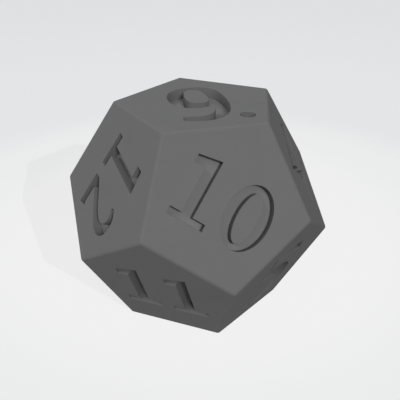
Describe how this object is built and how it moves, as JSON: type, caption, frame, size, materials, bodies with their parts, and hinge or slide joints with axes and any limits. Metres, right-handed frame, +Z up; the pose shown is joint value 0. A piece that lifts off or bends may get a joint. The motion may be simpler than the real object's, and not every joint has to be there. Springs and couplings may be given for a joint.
{
  "type": "twelve-sided die",
  "caption": "Regular dodecahedral gaming die with rounded edges and a deeply engraved serif number on each face, for random rolls in tabletop games.",
  "frame": {"origin": "centre of the face numbered 6, on which the die stands: the middle of the footprint, at the height of the table", "axes": "+Z up, out of the face numbered 9; -Y out of the side that carries the face numbered 10, whose normal leans up from -Y by 26.6 degrees; +X to the right when the face numbered 10 is in front"},
  "size_m": [0.0222, 0.0234, 0.019],
  "materials": {
    "body": "satin-matte moulded resin, dark neutral grey",
    "paint": "thin matte paint, a neutral dark grey slightly lighter than the body"
  },
  "bodies": {
    "root": {"die_body": "body", "paint_1": "paint", "paint_2": "paint", "paint_3": "paint", "paint_4": "paint", "paint_5": "paint", "paint_6": "paint", "paint_7": "paint", "paint_8": "paint", "paint_9": "paint", "paint_6_dot": "paint", "paint_9_dot": "paint", "paint_10_tens": "paint", "paint_11_tens": "paint", "paint_12_tens": "paint", "paint_10_units": "paint", "paint_11_units": "paint", "paint_12_units": "paint"}
  },
  "joints": []
}
